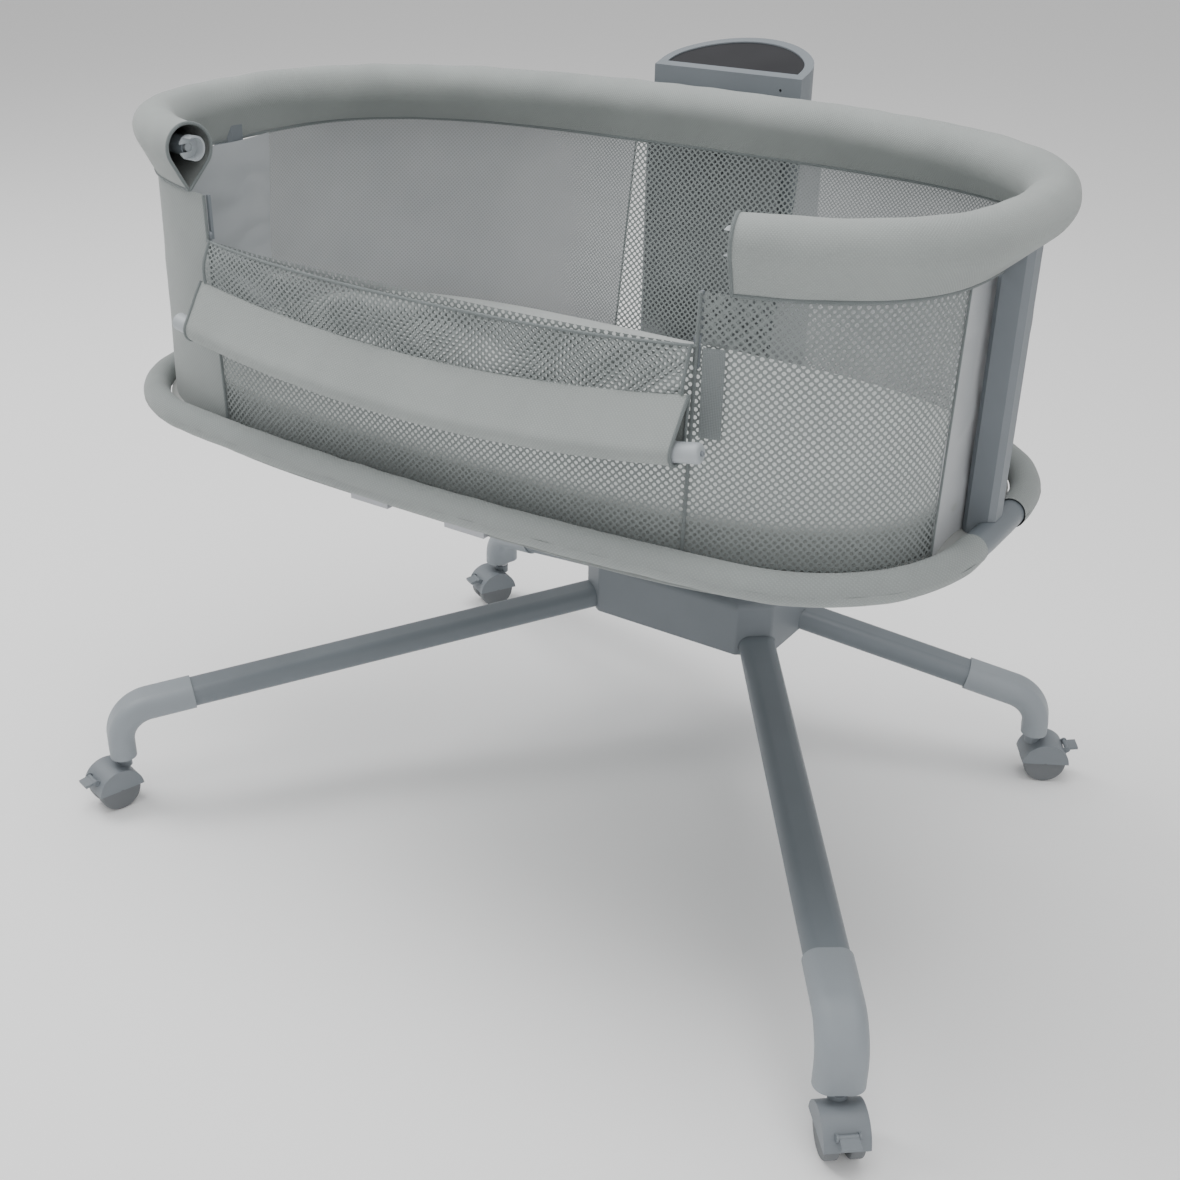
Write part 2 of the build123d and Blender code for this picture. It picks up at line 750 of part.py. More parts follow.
with BuildPart() as control_bezel:
    add(control_block.part)
    add(panel_core.part, mode=Mode.SUBTRACT)
    with BuildSketch(slope_plane(bezel_t)):
        Rectangle(8 * box_half, 8 * box_half)
    extrude(amount=bezel_t, mode=Mode.INTERSECT)
finish(control_bezel.part, "control_bezel")

with BuildPart() as glass_block:
    with BuildSketch(Plane.XY.offset(tower_top + shell_t)):
        with BuildLine():
            draw_box()
        make_face()
        offset(amount=-panel_inset - gap, kind=Kind.INTERSECTION)
    extrude(amount=2 * (box_top - tower_top))

with BuildPart() as touch_panel:
    add(glass_block.part)
    with BuildSketch(slope_plane(1 + glass_t)):
        Rectangle(8 * box_half, 8 * box_half)
    extrude(amount=glass_t, mode=Mode.INTERSECT)
finish(touch_panel.part, "touch_panel")

# ---------------------------------------------------------------- legs
hub_middle = hub_front + hub_depth / 2


class Leg:
    """Straight line of one leg in plan, from its hub socket to its caster stem."""

    def __init__(self, side, socket, stem, elbow_z):
        self.start = Vector(side * socket[0], socket[1])
        self.stem = Vector(side * stem[0], stem[1])
        self.plan = (self.stem - self.start).normalized()
        self.length = (self.stem - self.start).length
        self.fall = (elbow_z - socket_z) / (self.length - elbow_len)
        self.along = (self.plan + Vector(0, 0, self.fall)).normalized()
        self.across = Vector(-self.plan.Y, self.plan.X)

    def point(self, s):
        """Point of the centre line at plan distance s from the socket."""
        return self.start + self.plan * s + Vector(0, 0, socket_z + self.fall * s)

    def plane(self, s):
        """Section plane across the leg at s."""
        return Plane(self.point(s), x_dir=self.across, z_dir=self.along)


legs = {
    "front_left": Leg(-1, socket_front, stem_front, elbow_front_z),
    "front_right": Leg(1, socket_front, stem_front, elbow_front_z),
    "back_left": Leg(-1, socket_back, stem_back, elbow_back_z),
    "back_right": Leg(1, socket_back, stem_back, elbow_back_z),
}
screw_at = (-15, -33)
leg_rooms = []
for name, leg in legs.items():
    stretch = (leg.length - elbow_len + leg_in_elbow + leg_in_hub) * leg.along.length
    run = stretch * sqrt(1 + leg.fall**2)
    with BuildPart() as leg_room:
        with BuildSketch(leg.plane(-leg_in_hub - gap)):
            SlotOverall(leg_w + 2 * gap, leg_h + 2 * gap)
        extrude(amount=run + 2 * gap)
    leg_rooms.append(leg_room.part)

    with BuildPart() as leg_tube:
        with BuildSketch(leg.plane(-leg_in_hub)):
            SlotOverall(leg_w, leg_h)
            SlotOverall(leg_w - 2 * leg_wall, leg_h - 2 * leg_wall, mode=Mode.SUBTRACT)
        extrude(amount=run)
        for s in screw_at:
            spot = leg.point(s)
            with Locations((spot.X, spot.Y, spot.Z)):
                Cylinder(screw_r + gap, 3 * leg_h, mode=Mode.SUBTRACT)
    finish(leg_tube.part, f"leg_{name}")

    corner = leg.point(leg.length)
    with BuildPart() as foot:
        with BuildLine() as bend:
            FilletPolyline(
                leg.point(leg.length - elbow_len),
                corner,
                Vector(corner.X, corner.Y, elbow_bottom),
                radius=elbow_bend,
            )
        with BuildSketch(leg.plane(leg.length - elbow_len)):
            SlotOverall(leg_w + 2 * elbow_wall + 2 * gap, leg_h + 2 * elbow_wall + 2 * gap)
        sweep()
        add(leg_room.part, mode=Mode.SUBTRACT)
        with Locations((corner.X, corner.Y, elbow_bottom)):
            Cylinder(stem_r + running, 2 * leg_in_elbow, mode=Mode.SUBTRACT)
    finish(foot.part, f"foot_{name}")

# ---------------------------------------------------------------- hub
hub_points = [
    (-hub_flat, hub_front),
    (hub_flat, hub_front),
    (hub_half, hub_front + hub_nose),
    (hub_half, hub_front + hub_depth - hub_nose),
    (hub_flat, hub_front + hub_depth),
    (-hub_flat, hub_front + hub_depth),
    (-hub_half, hub_front + hub_depth - hub_nose),
    (-hub_half, hub_front + hub_nose),
]
jack_x = 40
jack_z = hub_bottom + 20
with BuildPart() as hub_cover:
    with BuildSketch(Plane.XY.offset(hub_bottom)) as hub_outline:
        Polygon(*hub_points, align=None)
        fillet(hub_outline.vertices(), 6)
    extrude(amount=hub_top - hub_bottom)
    fillet(hub_cover.faces().sort_by(Axis.Z)[-1].edges(), 7)
    with BuildSketch(Plane.XY.offset(hub_bottom)) as hub_inside:
        Polygon(*hub_points, align=None)
        offset(amount=-shell_t, kind=Kind.INTERSECTION)
    extrude(amount=hub_top - shell_t - hub_bottom, mode=Mode.SUBTRACT)
    with BuildSketch(Plane.XY.offset(hub_top)):
        with Locations((0, mast_y)):
            Rectangle(mast_w + 2 * gap, mast_d + 2 * gap)
    extrude(amount=-2 * shell_t, mode=Mode.SUBTRACT)
    with Locations((jack_x, hub_front + hub_depth, jack_z)):
        Cylinder(jack_r + gap, 4 * shell_t, rotation=(90, 0, 0), mode=Mode.SUBTRACT)
    for room in leg_rooms:
        add(room, mode=Mode.SUBTRACT)
    for leg in legs.values():
        spot = leg.point(0)
        with Locations((spot.X, spot.Y, hub_bottom)):
            Box(leg_w / 2, leg_w / 2, leg_h / 2, mode=Mode.SUBTRACT)
finish(hub_cover.part, "hub_cover")

with BuildPart() as hub_base:
    with BuildSketch(Plane.XY.offset(hub_bottom)):
        Polygon(*hub_points, align=None)
        offset(amount=-shell_t - gap, kind=Kind.INTERSECTION)
    extrude(amount=shell_t)
    for room in leg_rooms:
        add(room, mode=Mode.SUBTRACT)
finish(hub_base.part, "hub_base")

with BuildPart() as hub_plate:
    with BuildSketch(Plane.XY.offset(hub_plate_z)):
        Polygon(*hub_points, align=None)
        offset(amount=-shell_t - gap, kind=Kind.INTERSECTION)
    extrude(amount=hub_plate_t)
    for leg in legs.values():
        for s in screw_at:
            spot = leg.point(s)
            with Locations((spot.X, spot.Y, hub_plate_z)):
                Cylinder(screw_r + gap, 4 * hub_plate_t, mode=Mode.SUBTRACT)
finish(hub_plate.part, "hub_plate")

with BuildPart() as stand_screws:
    for leg in legs.values():
        for s in screw_at:
            spot = leg.point(s)
            with BuildSketch(Plane((spot.X, spot.Y, hub_inner_plate_top))):
                Circle(1.8 * screw_r)
            extrude(amount=4)
            with BuildSketch(Plane((spot.X, spot.Y, hub_inner_plate_top))):
                Circle(screw_r)
            extrude(amount=-(hub_inner_plate_top - spot.Z + leg_h / 2))
finish(stand_screws.part, "stand_screws")

with BuildPart() as power_jack:
    with BuildSketch(Plane.XZ.offset(-hub_front - hub_depth)):
        with Locations((jack_x, jack_z)):
            Circle(jack_r)
            Circle(jack_r / 2, mode=Mode.SUBTRACT)
    extrude(amount=16)
    with BuildSketch(Plane.XZ.offset(-hub_front - hub_depth + 16)):
        with Locations((jack_x, jack_z)):
            Circle(jack_r)
    extrude(amount=2)
finish(power_jack.part, "power_jack")

# ---------------------------------------------------------------- casters
collar_r = 8
collar_t = 2.5
stem_bottom = boss_top - 8
ear_l = lever_arm - hood_r + hood_wall / 2
with BuildPart() as caster_stems:
    for side, stem, turn, lever in casters.values():
        with BuildSketch(Plane((side * stem[0], stem[1], stem_bottom))):
            Circle(stem_r)
        extrude(amount=elbow_bottom + leg_in_elbow - gap - stem_bottom)
        with BuildSketch(Plane((side * stem[0], stem[1], boss_top + gap))):
            Circle(collar_r)
        extrude(amount=collar_t)
finish(caster_stems.part, "caster_stems")

for name, (side, stem, turn, lever) in casters.items():
    ahead = Vector(cos(radians(turn)), sin(radians(turn)))
    left = Vector(-ahead.Y, ahead.X)
    foot_point = Vector(side * stem[0], stem[1])
    axle_point = foot_point + ahead * trail + Vector(0, 0, wheel_r)
    profile = Plane(foot_point, x_dir=ahead, z_dir=left * -1)
    pin_x = trail + lever_arm * cos(radians(lever_polar))
    pin_z = wheel_r + lever_arm * sin(radians(lever_polar))

    with BuildPart() as hood:
        with BuildSketch(profile):
            with Locations((trail, wheel_r)):
                Circle(hood_r)
            with Locations((trail, hood_low - 2 * hood_r)):
                Rectangle(4 * hood_r, 4 * hood_r, mode=Mode.SUBTRACT)
        extrude(amount=hood_half, both=True)
        with BuildSketch(Plane((foot_point.X, foot_point.Y, boss_top))):
            Circle(boss_r)
        extrude(amount=-(boss_top - stem_bottom + hood_wall))
        for sign in (-1, 1):
            with BuildSketch(profile.offset(sign * web_half)):
                with Locations((trail, wheel_r)):
                    Circle(hood_r - hood_wall)
            extrude(amount=sign * (hood_half - hood_wall - web_half), mode=Mode.SUBTRACT)
        with BuildSketch(profile):
            with Locations((trail, wheel_r)):
                Circle(3 * axle_r)
            with Locations((trail, wheel_r + 3 * axle_r)):
                Rectangle(6 * axle_r, 6 * axle_r)
        extrude(amount=web_half, both=True)
        for sign in (-1, 1):
            with BuildSketch(profile.offset(sign * (lever_w / 2 + gap))):
                with Locations((pin_x, pin_z)):
                    Circle(lever_pin + 2)
                with Locations((pin_x - ear_l / 2 * cos(radians(lever_polar)),
                                pin_z - ear_l / 2 * sin(radians(lever_polar)))):
                    Rectangle(ear_l, 2 * (lever_pin + 2), rotation=lever_polar)
            extrude(amount=sign * ear_t)
        with BuildSketch(profile):
            with Locations((trail, wheel_r)):
                Circle(axle_r + running)
        extrude(amount=4 * hood_half, both=True, mode=Mode.SUBTRACT)
        with BuildSketch(profile):
            with Locations((pin_x, pin_z)):
                Circle(lever_pin + running)
        extrude(amount=lever_w, both=True, mode=Mode.SUBTRACT)
        with BuildSketch(Plane((foot_point.X, foot_point.Y, boss_top))):
            Circle(stem_r + running)
        extrude(amount=-(boss_top - stem_bottom + gap), mode=Mode.SUBTRACT)
    finish(hood.part, f"caster_{name}_hood")

    with BuildPart() as wheels:
        for sign in (-1, 1):
            with BuildSketch(profile.offset(sign * wheel_in)):
                with Locations((trail, wheel_r)):
                    Circle(wheel_r)
                    Circle(axle_r, mode=Mode.SUBTRACT)
            extrude(amount=sign * wheel_w)
        fillet(wheels.edges().filter_by(lambda edge: edge.length > 6 * (wheel_r - 1)), 3)
        with BuildSketch(profile):
            with Locations((trail, wheel_r)):
                Circle(axle_r)
        extrude(amount=wheel_in + wheel_w, both=True)
    finish(wheels.part, f"caster_{name}_wheels")

    tip = Vector(cos(radians(lever)), sin(radians(lever)))
    with BuildPart() as brake:
        with BuildSketch(profile):
            with Locations((pin_x, pin_z)):
                Circle(lever_t / 2 + 1)
            with Locations((pin_x + tip.X * lever_len / 2, pin_z + tip.Y * lever_len / 2)):
                Rectangle(lever_len, lever_t, rotation=lever)
        extrude(amount=lever_w / 2, both=True)
        with BuildSketch(profile):
            with Locations((pin_x, pin_z)):
                Circle(lever_pin)
        extrude(amount=lever_w / 2 + gap + ear_t, both=True)
    finish(brake.part, f"caster_{name}_brake")
    print(name, "axle", axle_point, "pin", profile.from_local_coords((pin_x, pin_z, 0)))
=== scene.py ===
# %% [markdown]
# # Bassinet on a rear stand
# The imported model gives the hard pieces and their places. This lesson adds the fabric and the finishes.

# %% Load the frame
import json
import math

import bmesh
import bpy
import numpy as np
from mathutils import Matrix, Vector, noise


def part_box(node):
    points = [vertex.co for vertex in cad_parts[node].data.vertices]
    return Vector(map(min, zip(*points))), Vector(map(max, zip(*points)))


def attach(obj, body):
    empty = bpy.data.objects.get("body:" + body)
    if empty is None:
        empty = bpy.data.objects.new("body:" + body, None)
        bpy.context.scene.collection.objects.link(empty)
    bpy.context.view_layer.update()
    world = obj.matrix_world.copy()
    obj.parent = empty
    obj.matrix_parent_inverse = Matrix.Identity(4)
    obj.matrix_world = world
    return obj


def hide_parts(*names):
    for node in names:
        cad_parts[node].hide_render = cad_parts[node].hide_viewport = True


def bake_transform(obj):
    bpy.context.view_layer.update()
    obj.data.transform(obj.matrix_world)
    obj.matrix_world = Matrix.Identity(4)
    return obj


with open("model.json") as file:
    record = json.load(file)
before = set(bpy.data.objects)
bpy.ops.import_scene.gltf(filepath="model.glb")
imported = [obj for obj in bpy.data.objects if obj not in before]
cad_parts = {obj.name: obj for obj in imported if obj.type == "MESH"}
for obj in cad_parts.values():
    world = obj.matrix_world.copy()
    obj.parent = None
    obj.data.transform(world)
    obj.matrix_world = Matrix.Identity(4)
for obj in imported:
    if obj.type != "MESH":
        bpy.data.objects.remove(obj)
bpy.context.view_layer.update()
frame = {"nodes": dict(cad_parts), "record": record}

# %% [markdown]
# ## Finishes
# Woven cloth is two sets of threads crossing. Two wave textures at right angles, read from the piece's
# own UV map in metres, give both the thread relief and the small change of colour between threads.

# %% A shared weave group
def weave_group():
    """Threads crossing at right angles: a height and a slow tone change."""
    group = bpy.data.node_groups.new("weave", "ShaderNodeTree")
    face = group.interface
    face.new_socket(name="Vector", in_out="INPUT", socket_type="NodeSocketVector")
    face.new_socket(name="Threads", in_out="INPUT", socket_type="NodeSocketFloat")
    face.new_socket(name="Height", in_out="OUTPUT", socket_type="NodeSocketFloat")
    face.new_socket(name="Tone", in_out="OUTPUT", socket_type="NodeSocketFloat")
    nodes, links = group.nodes, group.links
    start = nodes.new("NodeGroupInput")
    end = nodes.new("NodeGroupOutput")
    waves = []
    for direction in ("X", "Y"):
        wave = nodes.new("ShaderNodeTexWave")
        wave.bands_direction = direction
        wave.inputs["Distortion"].default_value = 0.6
        wave.inputs["Detail"].default_value = 0
        links.new(start.outputs["Vector"], wave.inputs["Vector"])
        links.new(start.outputs["Threads"], wave.inputs["Scale"])
        waves.append(wave)
    cross = nodes.new("ShaderNodeMath")
    cross.operation = "MULTIPLY"
    links.new(waves[0].outputs["Fac"], cross.inputs[0])
    links.new(waves[1].outputs["Fac"], cross.inputs[1])
    cloud = nodes.new("ShaderNodeTexNoise")
    cloud.inputs["Scale"].default_value = 9
    cloud.inputs["Detail"].default_value = 4
    links.new(start.outputs["Vector"], cloud.inputs["Vector"])
    links.new(cross.outputs[0], end.inputs["Height"])
    links.new(cloud.outputs["Fac"], end.inputs["Tone"])
    return group


WEAVE = weave_group()


def cloth(name, light, dark, threads, bump=0.5, holes=None, sheen=0.15, bias=45):
    """A woven fabric; holes is the least cover of an open mesh, bias the turn of its threads in degrees."""
    material = bpy.data.materials.new(name)
    material.use_nodes = True
    nodes, links = material.node_tree.nodes, material.node_tree.links
    shader = nodes["Principled BSDF"]
    shader.inputs["Roughness"].default_value = 0.88
    shader.inputs["Sheen Weight"].default_value = sheen
    uv = nodes.new("ShaderNodeUVMap")
    weave = nodes.new("ShaderNodeGroup")
    weave.node_tree = WEAVE
    weave.inputs["Threads"].default_value = threads
    turn = nodes.new("ShaderNodeMapping")
    turn.inputs["Rotation"].default_value = (0, 0, math.radians(bias))
    links.new(uv.outputs["UV"], turn.inputs["Vector"])
    links.new(turn.outputs["Vector"], weave.inputs["Vector"])
    tone = nodes.new("ShaderNodeMix")
    tone.data_type = "RGBA"
    tone.inputs["A"].default_value = (*dark, 1)
    tone.inputs["B"].default_value = (*light, 1)
    blend = nodes.new("ShaderNodeMath")
    blend.operation = "MULTIPLY_ADD"
    blend.inputs[1].default_value = 0.45
    links.new(weave.outputs["Height"], blend.inputs[0])
    links.new(weave.outputs["Tone"], blend.inputs[2])
    blend.use_clamp = True
    links.new(blend.outputs[0], tone.inputs["Factor"])
    links.new(tone.outputs["Result"], shader.inputs["Base Color"])
    relief = nodes.new("ShaderNodeBump")
    relief.inputs["Strength"].default_value = bump
    relief.inputs["Distance"].default_value = 0.0006
    links.new(weave.outputs["Height"], relief.inputs["Height"])
    links.new(relief.outputs["Normal"], shader.inputs["Normal"])
    if holes is not None:
        cover = nodes.new("ShaderNodeMapRange")
        cover.inputs["From Min"].default_value = 0.14
        cover.inputs["From Max"].default_value = 0.3
        cover.inputs["To Min"].default_value = 1.0
        cover.inputs["To Max"].default_value = holes
        links.new(weave.outputs["Height"], cover.inputs["Value"])
        links.new(cover.outputs["Result"], shader.inputs["Alpha"])
    return material


shell_cloth = cloth("tub_shell_cloth", (0.300, 0.325, 0.318), (0.215, 0.235, 0.232), 125)
cover_cloth = cloth("rim_cover_cloth", (0.335, 0.360, 0.350), (0.245, 0.265, 0.260), 140)
open_mesh = cloth("open_mesh", (0.265, 0.290, 0.285), (0.170, 0.190, 0.190), 66, holes=0.04)
fine_mesh = cloth("fine_mesh", (0.300, 0.315, 0.318), (0.205, 0.222, 0.228), 105, holes=0.72)
mattress_cloth = cloth("mattress_cloth", (0.45, 0.47, 0.46), (0.36, 0.38, 0.375), 120)
satin = cloth("satin_strip", (0.42, 0.44, 0.455), (0.31, 0.33, 0.35), 500, bump=0.15, sheen=0.5, bias=0)
piping_cloth = cloth("piping_cloth", (0.200, 0.225, 0.225), (0.130, 0.150, 0.152), 420, bias=0)
print("cloths ready")

# %% [markdown]
# Moulded plastic has a faint grain and paint a faint orange peel. One group of noises at two sizes serves
# both, with its own values in each material.

# %% Plastics, paint and metal
def grain_group():
    """Fine grain for relief and a slow cloud for tone, from object coordinates."""
    group = bpy.data.node_groups.new("surface_grain", "ShaderNodeTree")
    face = group.interface
    face.new_socket(name="Vector", in_out="INPUT", socket_type="NodeSocketVector")
    face.new_socket(name="Size", in_out="INPUT", socket_type="NodeSocketFloat")
    face.new_socket(name="Grain", in_out="OUTPUT", socket_type="NodeSocketFloat")
    face.new_socket(name="Cloud", in_out="OUTPUT", socket_type="NodeSocketFloat")
    nodes, links = group.nodes, group.links
    start = nodes.new("NodeGroupInput")
    end = nodes.new("NodeGroupOutput")
    fine = nodes.new("ShaderNodeTexNoise")
    fine.inputs["Detail"].default_value = 3
    links.new(start.outputs["Vector"], fine.inputs["Vector"])
    links.new(start.outputs["Size"], fine.inputs["Scale"])
    cloud = nodes.new("ShaderNodeTexNoise")
    cloud.inputs["Scale"].default_value = 14
    cloud.inputs["Detail"].default_value = 5
    links.new(start.outputs["Vector"], cloud.inputs["Vector"])
    links.new(fine.outputs["Fac"], end.inputs["Grain"])
    links.new(cloud.outputs["Fac"], end.inputs["Cloud"])
    return group


GRAIN = grain_group()


def moulded(name, light, dark, rough, size=900, bump=0.15, metal=0.0, shine=0.5, stretch=(1, 1, 1)):
    """A hard finish with grain, a slow tone change and uneven gloss."""
    material = bpy.data.materials.new(name)
    material.use_nodes = True
    nodes, links = material.node_tree.nodes, material.node_tree.links
    shader = nodes["Principled BSDF"]
    shader.inputs["Metallic"].default_value = metal
    shader.inputs["Specular IOR Level"].default_value = shine
    place = nodes.new("ShaderNodeTexCoord")
    mapping = nodes.new("ShaderNodeMapping")
    mapping.inputs["Scale"].default_value = stretch
    links.new(place.outputs["Object"], mapping.inputs["Vector"])
    grain = nodes.new("ShaderNodeGroup")
    grain.node_tree = GRAIN
    grain.inputs["Size"].default_value = size
    links.new(mapping.outputs["Vector"], grain.inputs["Vector"])
    tone = nodes.new("ShaderNodeMix")
    tone.data_type = "RGBA"
    tone.inputs["A"].default_value = (*dark, 1)
    tone.inputs["B"].default_value = (*light, 1)
    links.new(grain.outputs["Cloud"], tone.inputs["Factor"])
    links.new(tone.outputs["Result"], shader.inputs["Base Color"])
    gloss = nodes.new("ShaderNodeMapRange")
    gloss.inputs["To Min"].default_value = rough - 0.05
    gloss.inputs["To Max"].default_value = rough + 0.07
    links.new(grain.outputs["Cloud"], gloss.inputs["Value"])
    links.new(gloss.outputs["Result"], shader.inputs["Roughness"])
    relief = nodes.new("ShaderNodeBump")
    relief.inputs["Strength"].default_value = bump
    relief.inputs["Distance"].default_value = 0.0003
    links.new(grain.outputs["Grain"], relief.inputs["Height"])
    links.new(relief.outputs["Normal"], shader.inputs["Normal"])
    return material


finishes = {
    "paint": moulded("tube_paint", (0.175, 0.200, 0.220), (0.140, 0.160, 0.178), 0.42, 500, 0.08),
    "plastic": moulded("housing_plastic", (0.200, 0.222, 0.243), (0.162, 0.182, 0.200), 0.5, 1400, 0.2),
    "elbow": moulded("elbow_plastic", (0.285, 0.315, 0.340), (0.235, 0.260, 0.282), 0.5, 1400, 0.2),
    "panel": moulded("touch_glass", (0.030, 0.031, 0.034), (0.012, 0.012, 0.015), 0.25, 60, 0.02, shine=0.12),
    "steel": moulded("brushed_steel", (0.42, 0.43, 0.45), (0.32, 0.33, 0.35), 0.35, 400, 0.2, 1.0,
                     stretch=(1, 1, 0.05)),
    "rubber": moulded("wheel_tread", (0.165, 0.175, 0.185), (0.115, 0.124, 0.132), 0.6, 900, 0.25),
    "light": moulded("socket_plastic", (0.42, 0.45, 0.47), (0.34, 0.37, 0.39), 0.45, 1200, 0.15),
    "dark": moulded("dark_fitting", (0.05, 0.05, 0.06), (0.025, 0.025, 0.03), 0.5, 1200, 0.2),
    "bronze": moulded("bush_bronze", (0.6, 0.45, 0.25), (0.45, 0.33, 0.18), 0.4, 500, 0.2, 1.0),
    "board": moulded("floor_board", (0.4, 0.41, 0.4), (0.33, 0.34, 0.33), 0.7, 700, 0.3),
}


def finish_of(node):
    """Which finish a hard piece takes."""
    if node.startswith("leg_") or node in ("base_ring", "rim_tube", "gate_bar"):
        return "paint"
    if node in ("hub_plate", "stand_screws", "tower_mast", "swing_bracket", "swing_shaft", "caster_stems"):
        return "steel"
    if node in ("rim_sockets", "gate_latch_left", "gate_latch_right"):
        return "light"
    if node in ("drive_magnet", "power_jack"):
        return "dark"
    if node.startswith("foot_"):
        return "elbow"
    if node in ("swing_bearings", "drive_coil"):
        return "bronze"
    if node.endswith("_wheels"):
        return "rubber"
    return {"touch_panel": "panel", "floor_board": "board"}.get(node, "plastic")


for node, piece in frame["nodes"].items():
    for slot in piece.material_slots:
        slot.material = finishes[finish_of(node)]
print("finished", len(frame["nodes"]), "hard pieces")

# %% [markdown]
# ## The tub's outlines
# Rim, seam and floor edge are rounded rectangles of different fullness. A superellipse draws each one,
# spaced evenly along its length, from the front middle anticlockwise seen from above.

# %% Outline helper
ring_low, ring_high = (Vector(corner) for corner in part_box("base_ring"))
cover_low, cover_high = (Vector(corner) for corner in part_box("rim_cover"))
middle_y = (ring_low.y + ring_high.y) / 2
ring_z = (ring_low.z + ring_high.z) / 2
tube_low, tube_high = (Vector(corner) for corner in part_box("rim_tube"))
rim_z = (tube_low.z + tube_high.z) / 2
seam_z = cover_low.z


def outline(half_x, front, back, n_front, n_back, count=720):
    """Points round the tub, evenly spaced, as an array of x, y and share of the length."""
    turn = np.linspace(0, 2 * math.pi, 4001)
    n = np.where(np.cos(turn) > 0, n_front, n_back)
    depth = np.where(np.cos(turn) > 0, front, back)
    x = half_x * np.sign(np.sin(turn)) * np.abs(np.sin(turn)) ** (2 / n)
    y = middle_y - depth * np.sign(np.cos(turn)) * np.abs(np.cos(turn)) ** (2 / n)
    run = np.concatenate([[0], np.cumsum(np.hypot(np.diff(x), np.diff(y)))])
    share = run / run[-1]
    even = np.linspace(0, 1, count)
    return np.column_stack([np.interp(even, share, x), np.interp(even, share, y), even])


def arc_outline(half_x, half_y, side_share, end_share, corner, count=720):
    """Points round the base ring, whose sides, corners and ends are arcs that meet smoothly."""
    side, end = side_share * half_x, end_share * half_y
    side_c, end_c = np.array([0, half_y - side]), np.array([half_x - end, 0])
    across = end_c - side_c
    span = np.linalg.norm(across)
    along = ((side - corner) ** 2 - (end - corner) ** 2 + span**2) / (2 * span)
    off = math.sqrt((side - corner) ** 2 - along**2)
    unit = across / span
    square = np.array([-unit[1], unit[0]])
    both = [side_c + unit * along + square * off, side_c + unit * along - square * off]
    corner_c = max(both, key=lambda point: point[0] + point[1])
    turn_1 = math.atan2(*(corner_c - side_c))
    turn_2 = math.atan2(*(corner_c - end_c))
    stretches = [
        (side_c, side, 0, turn_1),
        (corner_c, corner, turn_1, turn_2),
        (end_c, end, turn_2, math.pi / 2),
    ]
    points = []
    for centre, radius, start, stop in stretches:
        for turn in np.linspace(start, stop, 200):
            points.append(centre + radius * np.array([math.sin(turn), math.cos(turn)]))
    quarter = np.array(points)
    half = np.vstack([quarter * [1, -1], quarter[::-1]])
    ring = np.vstack([half, half[::-1] * [-1, 1]])
    run = np.concatenate([[0], np.cumsum(np.hypot(*np.diff(ring, axis=0).T))])
    even = np.linspace(0, 1, count)
    share = run / run[-1]
    x = np.interp(even, share, ring[:, 0])
    y = np.interp(even, share, ring[:, 1]) + middle_y
    return np.column_stack([x, y, even])


# half length, depth to the front, depth to the back, fullness of the front and of the back
rim_line = outline(0.4424, 0.2238, 0.2677, 2.77, 2.65)
seam_line = outline(0.432, 0.2204, 0.2586, 3.26, 3.46)
base_line = outline(0.4348, 0.2178, 0.2178, 3.49, 3.49)
# half length, half width, side and end radius as shares of them, corner radius
ring_line = arc_outline(0.451, 0.234, 5.25, 10.2, 0.156)


def at(line, share):
    """x and y on an outline at a share of its length."""
    share = share % 1.0
    return np.array([np.interp(share, line[:, 2], line[:, 0]), np.interp(share, line[:, 2], line[:, 1])])


def share_at(line, x):
    """Share of an outline's length where its right front side reaches x."""
    half = line[line[:, 2] < 0.25]
    return float(np.interp(x, half[:, 0], half[:, 2]))


print("rim height", rim_z, "seam height", seam_z)

# %% [markdown]
# ## Cloth pieces
# Each cloth piece starts as a flat grid, cut and then carried to its place point by point, as a pattern
# piece is sewn. The grid's own rows give an even UV map in metres for the weave.

# %% Cloth helper
def carry(name, across, along, place, material, size, close=False):
    """A grid of across x along cells whose points go where place(u, v) says; size is its cut in metres."""
    bm = bmesh.new()
    bmesh.ops.create_grid(bm, x_segments=across, y_segments=along, size=0.5)
    uv = bm.loops.layers.uv.new("UVMap")
    for face in bm.faces:
        for loop in face.loops:
            flat = loop.vert.co
            loop[uv].uv = ((flat.x + 0.5) * size[0], (flat.y + 0.5) * size[1])
    for vert in bm.verts:
        vert.co = Vector(place(vert.co.x + 0.5, vert.co.y + 0.5))
    if close:
        bmesh.ops.remove_doubles(bm, verts=bm.verts, dist=0.00005)
        bmesh.ops.recalc_face_normals(bm, faces=bm.faces)
    for face in bm.faces:
        face.smooth = True
    mesh = bpy.data.meshes.new(name)
    bm.to_mesh(mesh)
    bm.free()
    mesh.materials.append(material)
    piece = bpy.data.objects.new(name, mesh)
    bpy.context.collection.objects.link(piece)
    return piece


def crease(point, size, depth, seed=0.0):
    """A small smooth in and out of cloth."""
    return noise.noise(Vector(point) / size + Vector((seed, seed, seed))) * depth


# %% [markdown]
# The walls hang from the rim seam to the floor edge. They are taut between the two frames, with shallow
# ripples that fade out at both edges.

# %% Walls
gate_half = 0.263
half_thick = 0.0015
tub_round = 2.2       # length of cloth once round the tub
cells_round = 733     # cloth cells once round the tub
wall_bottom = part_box("wall_back")[0][2]
fold_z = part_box("wall_front_lower")[1][2]
gate_share = share_at(seam_line, gate_half + 0.003)


